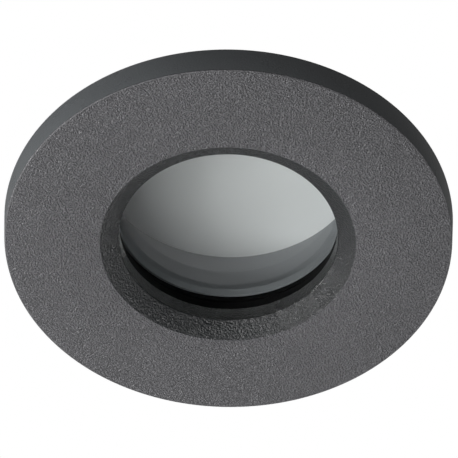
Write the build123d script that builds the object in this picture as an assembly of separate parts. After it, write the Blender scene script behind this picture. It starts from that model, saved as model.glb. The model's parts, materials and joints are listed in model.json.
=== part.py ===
from build123d import *
import os
from math import atan2, cos, degrees, hypot, pi, radians, sin, sqrt

os.makedirs("parts", exist_ok=True)

# A round recessed wall light, in millimetres. +Y runs into the wall, +Z is up, and the wall's
# surface is the plane y = 0. The bezel stands out of the wall towards -Y. Radii are measured
# from the light's axis, which is the Y axis.

# Opening and face of the bezel
opening_radius = 23.84
chamfer_width = 3.96
chamfer_depth = 2.45
lip_length = 3.65
flange_depth = 6.6
side_draft = 0.4
rim_round = 0.35
rim_width = 2.0
back_recess = 3.4
recess_web = 2.5

# Lens glass and its gasket
lens_thickness = 4.0
lens_overlap = 3.16
lens_edge_round = 0.3
gasket_recess = 0.21
gasket_lip = 2.2
gasket_wall = 1.6
gasket_back_lip = 1.4
gasket_back_grip = 2.4
fit_gap = 0.05

# Retaining ring, light chamber and diffuser
shoulder_width = 1.55
ring_thickness = 2.0
ring_grip = 2.0
spanner_slot_width = 3.0
spanner_slot_depth = 1.0
chamber_wall = 0.9
chamber_gap = 0.1
chamber_length = 16.8
diffuser_thickness = 2.0

# LED board and what is on it
mixing_length = 9.0
mixing_gap = 0.2
mixing_grip = 2.5
board_margin = 2.7
board_thickness = 1.6
led_length = 3.0
led_width = 2.8
led_height = 0.7
led_well_radius = 1.1
led_well_depth = 0.15
led_inner_radius = 8.0
led_gap = 0.3
led_ring_counts = (6, 12)
component_gap = 0.35
component_height = 1.6
component_bevel = 0.3
component_sizes = ((4.7, 3.8), (6.0, 3.9), (6.0, 3.9), (6.1, 2.6), (4.0, 3.0))
component_angles = (270.0, 350.0, 190.0, 130.0, 50.0)
board_screw_count = 3
board_screw_inset = 2.6
pad_thickness = 0.5
pad_margin = 0.5

# Neck of the bezel and heat sink
neck_wall = 2.8
base_thickness = 4.0
fin_height = 16.0
fin_thickness = 1.4
fin_count = 24
fin_gap = 1.9
fin_root = 1.5
lug_radius = 3.4
lug_length = 8.0
lug_standoff = 3.0
lug_count = 3
seal_width = 1.1
seal_depth = 0.9
thread_end_wall = 1.0

# Terminal housing, block and cover
terminal_pitch = 7.0
terminal_count = 3
block_length = 12.0
block_height = 13.0
block_shift = 3.0
wire_channel_height = 4.4
wire_channel_width = 4.6
wire_level = 4.0
clamp_length = 9.0
clamp_gap = 0.1
clamp_bore = 1.2
clamp_screw_spacing = 4.6
screw_aisle = 5.5
housing_wall = 2.0
housing_floor = 2.0
housing_corner = 8.0
housing_gasket_thickness = 1.0
boss_inset = 4.6
cover_boss_radius = 2.8
wiring_gap = 2.5
cover_gasket_thickness = 1.0
cover_thickness = 2.5
cover_edge_round = 1.0

# Leads inside the housing
lead_radius = 0.8
lead_bend = 2.2
lead_drop = 10.5
grommet_wall = 1.4
grommet_lip = 1.0
grommet_lip_height = 0.8
solder_radius = 1.5
solder_tip_radius = 1.0
solder_height = 0.9
lead_end_reach = 0.55
earth_tag_radius = 3.0
earth_tag_thickness = 0.8
earth_tab_drop = 5.2

# Cable gland
gland_radius = 8.0
gland_wall = 1.5
gland_flats = 20.0
gland_tail = 5.5
gland_bore_gap = 0.4
locknut_thickness = 3.4
gland_washer_thickness = 1.2
gland_washer_width = 2.6
gland_hex_height = 4.5
gland_collar = 7.5
cable_bore = 4.1
seal_length = 9.0
seal_taper = 0.9
hexagon_bevel_share = 0.6
dome_length = 14.0
dome_mouth_gap = 0.6
dome_gap = 0.05
dome_start = 0.8
dome_wall = 1.4
dome_taper = 4.0
dome_step = 0.7

# Spring clips, one on each side of the neck
boss_height = 1.2
boss_margin = 0.4
pivot_depth = 16.0
bracket_thickness = 1.2
bracket_front_reach = 9.6
bracket_back_reach = 9.0
ear_gap_half = 6.6
ear_radius = 2.5
ear_root_half = 4.0
pin_radius = 1.2
pin_gap = 0.06
pin_ear_gap = 0.02
pin_head_radius = 1.8
pin_head_length = 0.7
spring_wire_radius = 0.45
spring_coil_radius = 1.95
spring_gap = 0.1
spring_turn_gap = 0.05
spring_side_gap = 0.2
spring_whole_turns = 3
spring_leg = 9.0
spring_bridge_round = 1.2
spring_tail_gap = 0.15
hub_radius = 2.3
hub_half = 2.0
arm_thickness = 1.5
arm_half_width = 5.5
arm_root = 3.4
arm_tip_over = 1.0
arm_web_drop = 0.75
pad_radius = 2.2
pad_half_width = 6.2
pad_edge_round = 0.66
pad_cover = 1.8
stop_gap = 0.4
fold_margin = 2.0
bracket_screw_drop = 6.5
bracket_screw_half = 4.2

# Wall opening and flange cover
cut_out_gap = 0.37
flange_cover = 6.5
flange_gasket_margin = 0.5

# Screws: shank radius, head radius and head height
screw_m3 = (1.5, 2.75, 1.8)
screw_m25 = (1.25, 2.25, 1.5)
screw_clamp = (1.15, 1.7, 1.2)
screw_gap = 0.04
screw_socket_share = 0.55
screw_socket_width_share = 0.85
screw_round_share = 0.25
bracket_screw_grip = 2.6
heat_sink_screw_grip = 6.0
cover_screw_grip = 7.0
clearance_hole_gap = 0.2

# Radii that follow from the opening outwards
chamfer_radius = opening_radius + chamfer_width
lens_radius = opening_radius + lens_overlap
gasket_inner = opening_radius + gasket_recess
gasket_outer = lens_radius + gasket_wall
seat_radius = gasket_outer + fit_gap
chamber_radius = seat_radius + shoulder_width
chamber_outer = chamber_radius + chamber_wall
bore_radius = chamber_outer + chamber_gap
neck_radius = bore_radius + neck_wall
board_radius = bore_radius - board_margin
mixing_outer = bore_radius - mixing_gap
mixing_back_inner = board_radius - mixing_grip
board_screw_circle = mixing_back_inner - board_screw_inset
lug_circle = neck_radius + lug_standoff
seal_radius = (bore_radius + neck_radius) / 2

# Levels along Y, from the face into the wall
face_y = -flange_depth
lip_front_y = face_y + chamfer_depth
lip_back_y = lip_front_y + lip_length
lens_front_y = lip_back_y + gasket_lip
lens_back_y = lens_front_y + lens_thickness
gasket_back_y = lens_back_y + gasket_back_lip
ring_back_y = gasket_back_y + ring_thickness
chamber_back_y = ring_back_y + chamber_length
diffuser_back_y = chamber_back_y + diffuser_thickness
board_front_y = diffuser_back_y + mixing_length
board_back_y = board_front_y + board_thickness
base_front_y = board_back_y + pad_thickness
base_back_y = base_front_y + base_thickness
fin_back_y = base_back_y + fin_height
neck_back_y = base_front_y
floor_front_y = base_back_y + housing_gasket_thickness
floor_back_y = floor_front_y + housing_floor
block_back_y = floor_back_y + block_height
cover_front_y = block_back_y + wiring_gap + gland_tail
housing_back_y = cover_front_y - cover_gasket_thickness
cover_back_y = cover_front_y + cover_thickness
gland_seat_y = cover_back_y + gland_washer_thickness
gland_hex_back_y = gland_seat_y + gland_hex_height
gland_back_y = gland_hex_back_y + gland_collar
wire_y = floor_back_y + wire_level

# Board plan: the leads come up between the two rings of chips
lead_circle = hypot(terminal_pitch, lead_drop)
led_outer_radius = lead_circle + solder_radius + led_gap + led_width / 2
led_reach = hypot(led_outer_radius + led_width / 2, led_length / 2)
component_circle = led_reach + component_gap + max(width for _, width in component_sizes) / 2

# Terminal housing plan
block_half = terminal_pitch * terminal_count / 2
housing_half = block_half + screw_aisle + housing_wall
boss_offset = housing_half - boss_inset
corner_reach = (housing_half - housing_corner) * sqrt(2) + housing_corner
fin_inner = corner_reach + fin_gap
housing_screw_x = block_half + screw_aisle / 2

# Clip geometry, worked out for the clip on the +X side
boss_face_x = neck_radius + boss_height
plate_face_x = boss_face_x + bracket_thickness
pivot_x = plate_face_x + spring_coil_radius + spring_wire_radius + spring_gap
ear_outer_half = ear_gap_half + bracket_thickness
cut_out_radius = hypot(pivot_x + ear_radius, ear_outer_half) + cut_out_gap
flange_radius = cut_out_radius + flange_cover
face_radius = flange_radius - side_draft
arm_offset = spring_coil_radius - spring_wire_radius - spring_gap - arm_thickness / 2
tip_dx = cut_out_radius + pad_cover - pivot_x
tip_dy = pivot_depth - pad_radius - stop_gap
arm_length = sqrt(tip_dx**2 + tip_dy**2 - arm_offset**2)
arm_angle = degrees(atan2(tip_dy, tip_dx) + atan2(arm_offset, arm_length))
fold_range = arm_angle + 90 - fold_margin


def turned(points):
    """A solid turned about the Y axis from its profile, given as (radius, y) points."""
    return revolve(make_face(Polyline(*points, close=True)), Axis.Y)


def disc(radius, front, back, x=0.0, z=0.0):
    """A round bar along Y between two levels."""
    middle = Pos(x, (front + back) / 2, z)
    return middle * Rot(90, 0, 0) * Cylinder(radius, back - front)


def ring(inner, outer, front, back, x=0.0, z=0.0):
    """A round tube along Y between two levels."""
    return disc(outer, front, back, x, z) - disc(inner, front, back, x, z)


def block(x_low, x_high, y_low, y_high, z_low, z_high):
    """A box given by its limits."""
    centre = Pos((x_low + x_high) / 2, (y_low + y_high) / 2, (z_low + z_high) / 2)
    return centre * Box(x_high - x_low, y_high - y_low, z_high - z_low)


def plate(sketch, front, back):
    """A flat outline, drawn symmetrically in X and Z, made thick along Y."""
    base = Plane(origin=(0, front, 0), x_dir=(1, 0, 0), z_dir=(0, 1, 0))
    return extrude(base * sketch, back - front)


def around(count, radius, start=90.0):
    """Evenly spaced (x, z) places on a circle about the Y axis."""
    angles = [start + 360 * step / count for step in range(count)]
    return [(radius * cos(radians(a)), radius * sin(radians(a))) for a in angles]


def screw(size, length, place, towards):
    """A socket screw whose head sits on a surface at a place and faces one way."""
    shank, head_radius, head_height = size
    head = Pos(0, 0, head_height / 2) * Cylinder(head_radius, head_height)
    head = fillet(head.edges().sort_by(Axis.Z)[-1], head_height * screw_round_share)
    hexagon_face = RegularPolygon(shank * screw_socket_width_share, 6)
    socket = extrude(Plane.XY.offset(head_height) * hexagon_face,
                     -head_height * screw_socket_share)
    body = head - socket + Pos(0, 0, -length / 2) * Cylinder(shank, length)
    return Plane(origin=place, z_dir=towards).location * body


def together(solids):
    """Separate solids of one kind, kept as one group."""
    return Compound(children=[part.solid() for part in solids])


def save(name, shape):
    export_step(shape, f"parts/{name}.step")


def mirrored(shape):
    return mirror(shape, about=Plane.YZ)


# Front of the light


def make_bezel():
    """One casting: flange, chamfered opening, lens seat, neck, clip bosses and screw lugs."""
    body = turned([
        (opening_radius, lip_back_y),
        (opening_radius, lip_front_y),
        (chamfer_radius, face_y),
        (face_radius, face_y),
        (flange_radius, 0),
        (flange_radius - rim_width, 0),
        (flange_radius - rim_width, -back_recess),
        (neck_radius + recess_web, -back_recess),
        (neck_radius + recess_web, 0),
        (neck_radius, 0),
        (neck_radius, neck_back_y),
        (bore_radius, neck_back_y),
        (bore_radius, gasket_back_y),
        (seat_radius, gasket_back_y),
        (seat_radius, lip_back_y),
    ])
    rim = [e for e in body.edges().filter_by(GeomType.CIRCLE)
           if abs(e.radius - face_radius) < 1e-6 and abs(e.center().Y - face_y) < 1e-6]
    body = fillet(rim, rim_round)
    boss_front = pivot_depth - bracket_front_reach - boss_margin
    boss_back = pivot_depth + bracket_back_reach + boss_margin
    boss_half = ear_outer_half + boss_margin
    hollow = disc(bore_radius, gasket_back_y, neck_back_y)
    mid_wall = (bore_radius + neck_radius) / 2
    for side in (-1, 1):
        low, high = sorted((0, side * boss_face_x))
        boss = block(low, high, boss_front, boss_back, -boss_half, boss_half)
        seat = disc(seat_radius, lip_back_y, boss_back)
        body += boss - hollow - seat
    for x, z in around(lug_count, lug_circle):
        lug_front = neck_back_y - lug_length
        lug = disc(lug_radius, lug_front, neck_back_y, x, z)
        web = block(mid_wall, lug_circle, lug_front, neck_back_y, -lug_radius, lug_radius)
        body += lug + Rot(0, -degrees(atan2(z, x)), 0) * web
        hole_end = neck_back_y - heat_sink_screw_grip - screw_gap
        body -= disc(screw_m3[0] + screw_gap, hole_end, neck_back_y, x, z)
    for side in (-1, 1):
        for z in (-bracket_screw_half, bracket_screw_half):
            depth = bracket_screw_grip + screw_gap
            hole = Cylinder(screw_m3[0] + screw_gap, depth)
            x = side * (boss_face_x - depth / 2)
            body -= Pos(x, pivot_depth - bracket_screw_drop, z) * Rot(0, 90, 0) * hole
    return body.solid()


def make_lens_glass():
    glass = disc(lens_radius, lens_front_y, lens_back_y)
    return chamfer(glass.edges().filter_by(GeomType.CIRCLE), lens_edge_round)


def make_lens_gasket():
    """A U-section ring gripping the edge of the glass."""
    return turned([
        (gasket_inner, lip_back_y),
        (gasket_outer, lip_back_y),
        (gasket_outer, gasket_back_y),
        (lens_radius - gasket_back_grip, gasket_back_y),
        (lens_radius - gasket_back_grip, lens_back_y),
        (lens_radius + fit_gap, lens_back_y),
        (lens_radius + fit_gap, lens_front_y),
        (gasket_inner, lens_front_y),
    ])


def make_retaining_ring():
    """A threaded ring with two spanner slots; its thread is left plain."""
    inner = lens_radius - ring_grip
    body = ring(inner, bore_radius - fit_gap, gasket_back_y, ring_back_y)
    half = spanner_slot_width / 2
    slot_front = ring_back_y - spanner_slot_depth
    return body - block(-seat_radius, seat_radius, slot_front, ring_back_y, -half, half)


def make_flange_gasket():
    inner = cut_out_radius + flange_gasket_margin
    return ring(inner, flange_radius - rim_width - fit_gap, -back_recess, 0)


def make_light_chamber():
    return ring(chamber_radius, chamber_outer, ring_back_y, chamber_back_y)


def make_diffuser():
    return disc(chamber_outer, chamber_back_y, diffuser_back_y)


def make_mixing_ring():
    """A white cone that fills the diffuser evenly from the board."""
    return turned([
        (chamber_radius, diffuser_back_y),
        (mixing_outer, diffuser_back_y),
        (mixing_outer, board_front_y),
        (mixing_back_inner, board_front_y),
    ])


# LED board


def board_screw_places():
    return around(board_screw_count, board_screw_circle)


def lead_places():
    """Where the live and neutral leads cross the heat sink's base, as (x, z)."""
    return [(-terminal_pitch, -lead_drop), (0.0, -lead_drop)]


def make_led_board():
    body = disc(board_radius, board_front_y, board_back_y)
    for x, z in board_screw_places():
        body -= disc(screw_m25[0] + clearance_hole_gap, board_front_y, board_back_y, x, z)
    for x, z in lead_places():
        body -= disc(lead_radius + fit_gap, board_front_y, board_back_y, x, z)
    return body


def make_led_chips():
    """Low square packages with a shallow round lens well."""
    chips = []
    front = board_front_y - led_height
    for radius, count in zip((led_inner_radius, led_outer_radius), led_ring_counts):
        first = 90 + 180 / count
        for step, (x, z) in enumerate(around(count, radius, first)):
            turn = -(first + 360 * step / count)
            body = Box(led_length, led_height, led_width)
            well = Rot(90, 0, 0) * Cylinder(led_well_radius, led_well_depth)
            body -= Pos(0, (led_well_depth - led_height) / 2, 0) * well
            chips.append(Pos(x, front + led_height / 2, z) * Rot(0, turn, 0) * body)
    return together(chips)


def make_board_components():
    """Rectifier, two driver chips, fuse and varistor, each on its own place on the board."""
    bodies = []
    for (length, width), angle in zip(component_sizes, component_angles):
        x = component_circle * cos(radians(angle))
        z = component_circle * sin(radians(angle))
        chip = Box(length, component_height, width)
        chip = chamfer(chip.faces().sort_by(Axis.Y)[0].edges(), component_bevel)
        place = Pos(x, board_front_y - component_height / 2, z)
        bodies.append(place * Rot(0, 90 - angle, 0) * chip)
    return together(bodies)


def make_board_screws():
    reach = board_thickness + pad_thickness + base_thickness - thread_end_wall
    heads = [(x, board_front_y, z) for x, z in board_screw_places()]
    return together([screw(screw_m25, reach, place, (0, -1, 0)) for place in heads])


def make_thermal_pad():
    body = disc(board_radius - pad_margin, board_back_y, base_front_y)
    for x, z in board_screw_places():
        body -= disc(screw_m25[0] + clearance_hole_gap, board_back_y, base_front_y, x, z)
    for x, z in lead_places():
        body -= disc(lead_radius + fit_gap, board_back_y, base_front_y, x, z)
    return body


# Heat sink


def housing_screw_places():
    return [(-housing_screw_x, block_shift), (housing_screw_x, block_shift)]


def earth_screw_place():
    return (terminal_pitch, -lead_drop)


def fins(front):
    """Radial fins round the terminal housing, from a level in the base to their back edge."""
    fin = block(fin_inner, neck_radius, front, fin_back_y, -fin_thickness / 2, fin_thickness / 2)
    fin = fillet(fin.edges().filter_by(Axis.Z).sort_by(Axis.Y)[-2:], fin_thickness)
    return [Rot(0, 360 * (step + 0.5) / fin_count, 0) * fin for step in range(fin_count)]


def make_heat_sink():
    """A thick plate that closes the neck, with screw lugs and a slot for each fin."""
    body = disc(neck_radius, base_front_y, base_back_y)
    for x, z in around(lug_count, lug_circle):
        body += disc(lug_radius, base_front_y, base_back_y, x, z)
        body -= disc(screw_m3[0] + clearance_hole_gap, base_front_y, base_back_y, x, z)
    for fin in fins(base_back_y - fin_root):
        body -= fin
    half = seal_width / 2
    groove_back = base_front_y + seal_depth
    body -= ring(seal_radius - half, seal_radius + half, base_front_y, groove_back)
    for x, z in board_screw_places():
        end = base_back_y - thread_end_wall + screw_gap
        body -= disc(screw_m25[0] + screw_gap, base_front_y, end, x, z)
    for x, z in housing_screw_places() + [earth_screw_place()]:
        start = base_front_y + thread_end_wall - screw_gap
        body -= disc(screw_m25[0] + screw_gap, start, base_back_y, x, z)
    for x, z in lead_places():
        radius = lead_radius + grommet_wall + fit_gap
        body -= disc(radius, base_front_y, base_back_y, x, z)
    return body.solid()


def make_heat_sink_fins():
    """Thin plates pressed into the slots of the heat sink's base."""
    return together(fins(base_back_y - fin_root))


def make_heat_sink_seal():
    half = seal_width / 2
    inner = seal_radius - half + fit_gap
    outer = seal_radius + half - fit_gap
    return ring(inner, outer, base_front_y, base_front_y + seal_depth)


def make_heat_sink_screws():
    length = base_thickness + heat_sink_screw_grip
    places = [(x, base_back_y, z) for x, z in around(lug_count, lug_circle)]
    return together([screw(screw_m3, length, place, (0, 1, 0)) for place in places])


# Terminal housing


def housing_outline(inset=0.0):
    side = 2 * (housing_half - inset)
    return RectangleRounded(side, side, housing_corner - inset)


def boss_places():
    return [(x, z) for x in (-boss_offset, boss_offset) for z in (-boss_offset, boss_offset)]


def make_housing_gasket():
    body = plate(housing_outline(), base_back_y, floor_front_y)
    for x, z in housing_screw_places() + [earth_screw_place()]:
        radius = screw_m25[0] + clearance_hole_gap
        body -= disc(radius, base_back_y, floor_front_y, x, z)
    for x, z in lead_places():
        radius = lead_radius + grommet_wall + fit_gap
        body -= disc(radius, base_back_y, floor_front_y, x, z)
    return body


def make_terminal_housing():
    """A square tub with a boss in each corner for the cover's screws."""
    body = plate(housing_outline(), floor_front_y, housing_back_y)
    body -= plate(housing_outline(housing_wall), floor_back_y, housing_back_y)
    bosses = [disc(cover_boss_radius, floor_back_y, housing_back_y, x, z)
              for x, z in boss_places()]
    keep = plate(housing_outline(), floor_front_y, housing_back_y)
    for boss in bosses:
        body += boss & keep
    for x, z in boss_places():
        start = cover_front_y - cover_screw_grip - screw_gap
        body -= disc(screw_m25[0] + screw_gap, start, housing_back_y, x, z)
    for x, z in housing_screw_places() + [earth_screw_place()]:
        radius = screw_m25[0] + clearance_hole_gap
        body -= disc(radius, floor_front_y, floor_back_y, x, z)
    for x, z in lead_places():
        radius = lead_radius + grommet_wall + fit_gap
        body -= disc(radius, floor_front_y, floor_back_y, x, z)
    return body.solid()


def make_housing_screws():
    length = housing_floor + housing_gasket_thickness + base_thickness - thread_end_wall
    places = [(x, floor_back_y, z) for x, z in housing_screw_places()]
    return together([screw(screw_m25, length, place, (0, 1, 0)) for place in places])


def terminal_x():
    first = -(terminal_count - 1) / 2
    return [(first + step) * terminal_pitch for step in range(terminal_count)]


def clamp_screw_places():
    half = clamp_screw_spacing / 2
    return [(x, block_shift + dz) for x in terminal_x() for dz in (-half, half)]


def make_terminal_block():
    """An insulating block with a through channel and two screw wells for each conductor."""
    low = block_shift - block_length / 2
    high = block_shift + block_length / 2
    body = block(-block_half, block_half, floor_back_y, block_back_y, low, high)
    half_height = wire_channel_height / 2
    half_width = wire_channel_width / 2
    for x in terminal_x():
        body -= block(x - half_width, x + half_width,
                      wire_y - half_height, wire_y + half_height, low, high)
    well = screw_clamp[1] + clearance_hole_gap
    for x, z in clamp_screw_places():
        body -= disc(well, wire_y + half_height, block_back_y, x, z)
    return body.solid()


def make_terminal_clamps():
    """Brass cages, each with a bore for the conductors and two threads across it."""
    half_x = wire_channel_width / 2 - clamp_gap
    low = wire_y - wire_channel_height / 2
    high = wire_y + wire_channel_height / 2 - clamp_gap
    cages = []
    for x in terminal_x():
        cage = block(x - half_x, x + half_x, low, high,
                     block_shift - clamp_length / 2, block_shift + clamp_length / 2)
        bore = Pos(x, wire_y, block_shift) * Cylinder(clamp_bore, clamp_length)
        cage -= bore
        for dz in (-clamp_screw_spacing / 2, clamp_screw_spacing / 2):
            cage -= disc(screw_clamp[0] + screw_gap, wire_y, high, x, block_shift + dz)
        cages.append(cage)
    return together(cages)


def make_terminal_screws():
    head_seat = wire_y + wire_channel_height / 2
    length = wire_channel_height / 2 - lead_radius
    places = [(x, head_seat, z) for x, z in clamp_screw_places()]
    return together([screw(screw_clamp, length, place, (0, 1, 0)) for place in places])


def lead(x, end):
    """An insulated lead out of its clamp, bent once towards the front."""
    start = Vector(x, wire_y, block_shift - clamp_length / 2)
    corner = Vector(x, wire_y, end.Z)
    path = FilletPolyline(start, corner, end, radius=lead_bend)
    return sweep(Plane(origin=start, z_dir=(0, 0, -1)) * Circle(lead_radius), path=path)


def lead_end(place):
    x, z = place
    return Vector(x, board_front_y - lead_end_reach, z)


def make_live_lead():
    place = lead_places()[0]
    return lead(place[0], lead_end(place))


def make_neutral_lead():
    place = lead_places()[1]
    return lead(place[0], lead_end(place))


def make_earth_lead():
    end = Vector(terminal_pitch, floor_back_y + earth_tag_thickness, -earth_tab_drop)
    return lead(terminal_pitch, end)


def make_lead_grommets():
    """Rubber sleeves that seal each lead where it crosses the base."""
    radius = lead_radius + grommet_wall
    sleeves = []
    for x, z in lead_places():
        body = disc(radius, base_front_y, floor_back_y, x, z)
        body += disc(radius + grommet_lip, floor_back_y, floor_back_y + grommet_lip_height,
                     x, z)
        body -= disc(lead_radius + fit_gap, base_front_y,
                     floor_back_y + grommet_lip_height, x, z)
        sleeves.append(body)
    return together(sleeves)


def make_solder_joints():
    """A small cone of solder round the end of each lead on the board's front."""
    joints = []
    for x, z in lead_places():
        cone = turned([
            (0, board_front_y),
            (solder_radius, board_front_y),
            (solder_tip_radius, board_front_y - solder_height),
            (0, board_front_y - solder_height),
        ])
        hole = disc(lead_radius + fit_gap, lead_end((x, z)).Y - fit_gap, board_front_y, x, z)
        joints.append(Pos(x, 0, z) * cone - hole)
    return together(joints)


def make_earth_tag():
    x, z = earth_screw_place()
    back = floor_back_y + earth_tag_thickness
    body = disc(earth_tag_radius, floor_back_y, back, x, z)
    tab_half = lead_radius + fit_gap
    tab_high = -earth_tab_drop + tab_half
    body += block(x - tab_half, x + tab_half, floor_back_y, back, z, tab_high)
    return body - disc(screw_m25[0] + clearance_hole_gap, floor_back_y, back, x, z)


def make_earth_screw():
    x, z = earth_screw_place()
    length = (earth_tag_thickness + housing_floor + housing_gasket_thickness
              + base_thickness - thread_end_wall)
    place = (x, floor_back_y + earth_tag_thickness, z)
    return screw(screw_m25, length, place, (0, 1, 0))


def make_cover_gasket():
    """Follows the housing's rim and the tops of its corner bosses."""
    body = plate(housing_outline(), housing_back_y, cover_front_y)
    body -= plate(housing_outline(housing_wall), housing_back_y, cover_front_y)
    keep = plate(housing_outline(), housing_back_y, cover_front_y)
    for x, z in boss_places():
        body += disc(cover_boss_radius, housing_back_y, cover_front_y, x, z) & keep
    for x, z in boss_places():
        radius = screw_m25[0] + clearance_hole_gap
        body -= disc(radius, housing_back_y, cover_front_y, x, z)
    return body.solid()


def make_terminal_cover():
    body = plate(housing_outline(), cover_front_y, cover_back_y)
    body = fillet(body.faces().sort_by(Axis.Y)[-1].edges(), cover_edge_round)
    body -= disc(gland_radius + fit_gap, cover_front_y, cover_back_y)
    for x, z in boss_places():
        radius = screw_m25[0] + clearance_hole_gap
        body -= disc(radius, cover_front_y, cover_back_y, x, z)
    return body


def make_cover_screws():
    length = cover_thickness + cover_screw_grip
    places = [(x, cover_back_y, z) for x, z in boss_places()]
    return together([screw(screw_m25, length, place, (0, 1, 0)) for place in places])


# Cable gland


def hexagon(flats, front, back):
    """A hexagonal nut blank with its corners turned off at both ends."""
    corner = flats / sqrt(3)
    body = plate(RegularPolygon(corner, 6), front, back)
    bevel = (corner - flats / 2) * hexagon_bevel_share
    envelope = turned([
        (0, front),
        (flats / 2, front),
        (corner, front + bevel),
        (corner, back - bevel),
        (flats / 2, back),
        (0, back),
    ])
    return body & envelope


def make_gland_washer():
    inner = gland_radius + fit_gap
    return ring(inner, gland_radius + gland_washer_width - fit_gap, cover_back_y, gland_seat_y)


def make_gland_body():
    """Tail through the cover, hexagon outside it, and a collar that holds the seal."""
    tail_front = cover_front_y - gland_tail
    body = disc(gland_radius, tail_front, gland_seat_y)
    body += hexagon(gland_flats, gland_seat_y, gland_hex_back_y)
    body += disc(gland_radius, gland_hex_back_y, gland_back_y)
    bore = cable_bore + gland_bore_gap
    body -= disc(bore, tail_front, gland_hex_back_y)
    seat = gland_radius - gland_wall
    return (body - disc(seat, gland_hex_back_y, gland_back_y)).solid()


def make_gland_locknut():
    front = cover_front_y - locknut_thickness
    body = hexagon(gland_flats, front, cover_front_y)
    return (body - disc(gland_radius + fit_gap, front, cover_front_y)).solid()


def make_gland_seal():
    """A rubber sleeve squeezed on the cable by the dome nut."""
    outer = gland_radius - gland_wall - fit_gap
    back = gland_hex_back_y + seal_length
    nose = outer - seal_taper
    return turned([
        (cable_bore, gland_hex_back_y),
        (outer, gland_hex_back_y),
        (outer, gland_back_y),
        (nose, back),
        (cable_bore, back),
    ])


def make_gland_dome_nut():
    """Screwed over the collar; it narrows to the cable's mouth."""
    front = gland_hex_back_y + dome_start
    back = front + dome_length
    inner = gland_radius + dome_gap
    mouth = cable_bore + dome_mouth_gap
    inside_back = gland_back_y + fit_gap
    shoulder = gland_hex_back_y + seal_length + fit_gap
    nose = gland_radius - gland_wall
    body = hexagon(gland_flats, front, back - dome_taper)
    body += turned([
        (0, back - dome_taper),
        (gland_flats / 2 - dome_step, back - dome_taper),
        (mouth + dome_wall, back),
        (0, back),
    ])
    hollow = turned([
        (0, front),
        (inner, front),
        (inner, inside_back),
        (nose, shoulder),
        (mouth, shoulder + dome_wall),
        (mouth, back),
        (0, back),
    ])
    return (body - hollow).solid()


# Spring clips, made for the +X side and mirrored for the other


def arm_frame():
    """Local x runs along the arm and local y towards its back."""
    turn = radians(arm_angle)
    return Plane(origin=(pivot_x, pivot_depth, 0), x_dir=(cos(turn), -sin(turn), 0),
                 z_dir=(0, 0, 1)).location


def pivot_bar(radius, half, other=None):
    """A round bar on the pivot's axis, from z = -half to half or from half to other."""
    low, high = (-half, half) if other is None else (half, other)
    return Pos(pivot_x, pivot_depth, (low + high) / 2) * Cylinder(radius, high - low)


def make_clip_bracket():
    """A folded steel bracket: a plate on the boss and two ears that carry the pin."""
    front = pivot_depth - bracket_front_reach
    back = pivot_depth + bracket_back_reach
    body = block(boss_face_x, plate_face_x, front, back, -ear_outer_half, ear_outer_half)
    body = fillet(body.edges().filter_by(Axis.X), bracket_thickness)
    for low, high in ((ear_gap_half, ear_outer_half), (-ear_outer_half, -ear_gap_half)):
        web = Polyline((boss_face_x, pivot_depth - ear_root_half),
                       (pivot_x, pivot_depth - ear_radius),
                       (pivot_x, pivot_depth + ear_radius),
                       (boss_face_x, pivot_depth + ear_root_half), close=True)
        ear = extrude(Plane.XY.offset(low) * make_face(web), high - low)
        body += ear + pivot_bar(ear_radius, low, high)
    body -= pivot_bar(pin_radius + pin_ear_gap, ear_outer_half + 1)
    for z in (-bracket_screw_half, bracket_screw_half):
        hole = Cylinder(screw_m3[0] + clearance_hole_gap, bracket_thickness)
        x = (boss_face_x + plate_face_x) / 2
        body -= Pos(x, pivot_depth - bracket_screw_drop, z) * Rot(0, 90, 0) * hole
    _, tail_z = spring_ends()
    for z in (-tail_z, tail_z):
        hole = Cylinder(spring_wire_radius + spring_tail_gap, bracket_thickness)
        x = (boss_face_x + plate_face_x) / 2
        body -= Pos(x, pivot_depth + spring_coil_radius, z) * Rot(0, 90, 0) * hole
    return body.solid()


def make_bracket_screws():
    length = bracket_thickness + bracket_screw_grip
    y = pivot_depth - bracket_screw_drop
    places = [(plate_face_x, y, z) for z in (-bracket_screw_half, bracket_screw_half)]
    return together([screw(screw_m3, length, place, (1, 0, 0)) for place in places])


def make_clip_pin():
    """A riveted pin with a head outside each ear."""
    body = pivot_bar(pin_radius, ear_outer_half)
    top = ear_outer_half + pin_head_length
    body += pivot_bar(pin_head_radius, ear_outer_half, top)
    return body + pivot_bar(pin_head_radius, -top, -ear_outer_half)


def spring_ends():
    """How far from the middle the coil starts, and where its tail leaves it."""
    start = hub_half + spring_side_gap + spring_wire_radius
    pitch = 2 * spring_wire_radius + spring_turn_gap
    turns = spring_whole_turns + arm_angle / 360
    rise = pitch / (2 * pi * spring_coil_radius)
    tail = start + pitch * turns + rise * (pivot_x - plate_face_x)
    return start, tail


def make_clip_spring():
    """A double torsion spring: two coils, a bridge that presses the arm, and two tails."""
    start_z, _ = spring_ends()
    pitch = 2 * spring_wire_radius + spring_turn_gap
    turns = spring_whole_turns + arm_angle / 360
    coil = Helix(pitch=pitch, height=pitch * turns, radius=spring_coil_radius)
    coil = Pos(pivot_x, pivot_depth, start_z) * Rot(0, 0, 90 - arm_angle) * coil.edge()
    start = coil @ 0
    leg_end = start - (coil % 0) * spring_leg
    middle = Vector(leg_end.X, leg_end.Y, 0)
    leg = FilletPolyline(middle, leg_end, start, radius=spring_bridge_round)
    tail_start = coil @ 1
    tail_way = coil % 1
    tail_end = tail_start + tail_way * ((tail_start.X - boss_face_x) / -tail_way.X)
    tail = Edge.make_line(tail_start, tail_end)
    path = Wire(list(leg.edges()) + [coil, tail])
    section = Plane(origin=middle, z_dir=(0, 0, 1)) * Circle(spring_wire_radius)
    half = sweep(section, path=path, is_frenet=True)
    half -= block(-pivot_x, boss_face_x, 0, 2 * pivot_depth, 0, 2 * ear_outer_half)
    return (half + mirror(half, about=Plane.XY)).solid()


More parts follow.
